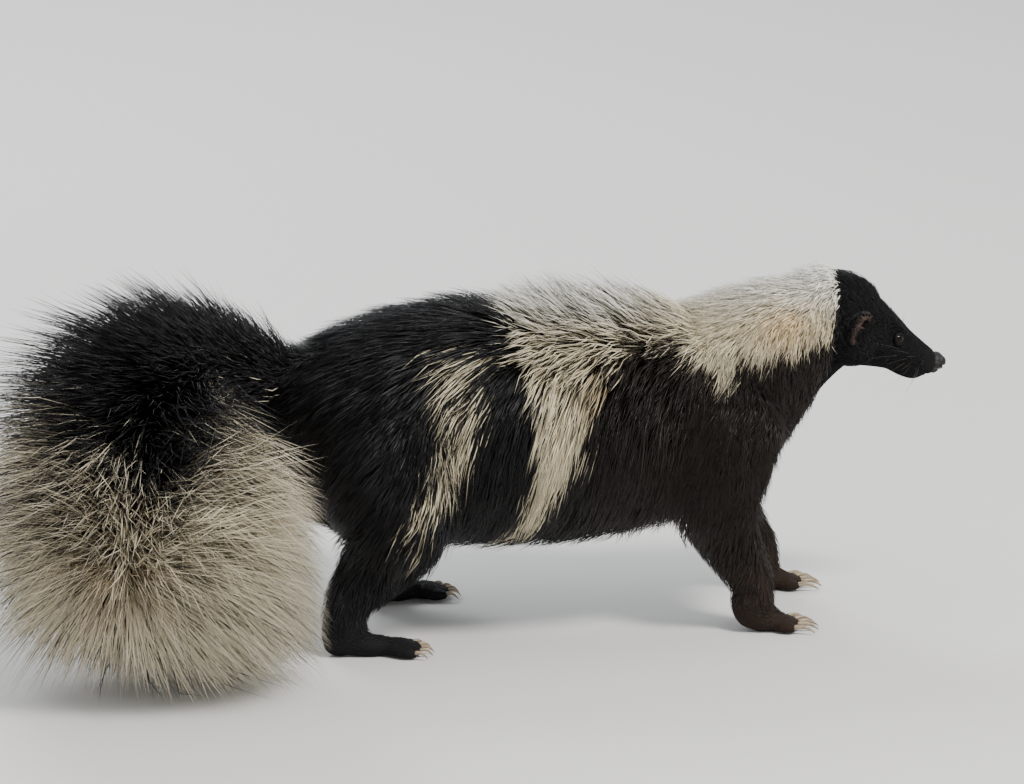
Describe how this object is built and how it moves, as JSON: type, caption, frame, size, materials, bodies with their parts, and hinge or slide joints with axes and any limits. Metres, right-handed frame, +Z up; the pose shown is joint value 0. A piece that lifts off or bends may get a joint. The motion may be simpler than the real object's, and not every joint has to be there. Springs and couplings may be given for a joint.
{
  "type": "striped skunk",
  "caption": "Life-size striped skunk standing with its head low and its long plumed tail swept to one side.",
  "frame": {"origin": "middle of the bounding box at floor level, under the skunk", "axes": "+X towards the nose, +Y to the animal's left, +Z up; the soles stand on z = 0"},
  "size_m": [0.5888, 0.276, 0.2102],
  "materials": {
    "black_coat": "long glossy guard hair",
    "claw": "smooth horn",
    "eye": "wet and glossy",
    "nose": "damp leathery skin",
    "plume": "very long coarse hair",
    "white_coat": "long cream guard hair"
  },
  "bodies": {
    "root": {"head": "black_coat", "nose": "nose", "neck": "white_coat", "torso": "black_coat", "eye_left": "eye", "ear_left": "black_coat", "leg_fore_left": "black_coat", "foot_fore_left": "black_coat", "claw_fore_left_1": "claw", "claw_fore_left_2": "claw", "claw_fore_left_3": "claw", "claw_fore_left_4": "claw", "claw_fore_left_5": "claw", "leg_hind_left": "black_coat", "foot_hind_left": "black_coat", "claw_hind_left_1": "claw", "claw_hind_left_2": "claw", "claw_hind_left_3": "claw", "claw_hind_left_4": "claw", "claw_hind_left_5": "claw", "eye_right": "eye", "ear_right": "black_coat", "leg_fore_right": "black_coat", "foot_fore_right": "black_coat", "claw_fore_right_1": "claw", "claw_fore_right_2": "claw", "claw_fore_right_3": "claw", "claw_fore_right_4": "claw", "claw_fore_right_5": "claw", "leg_hind_right": "black_coat", "foot_hind_right": "black_coat", "claw_hind_right_1": "claw", "claw_hind_right_2": "claw", "claw_hind_right_3": "claw", "claw_hind_right_4": "claw", "claw_hind_right_5": "claw", "tail_root": "plume", "tail_middle": "plume", "tail_end": "plume"}
  },
  "joints": []
}
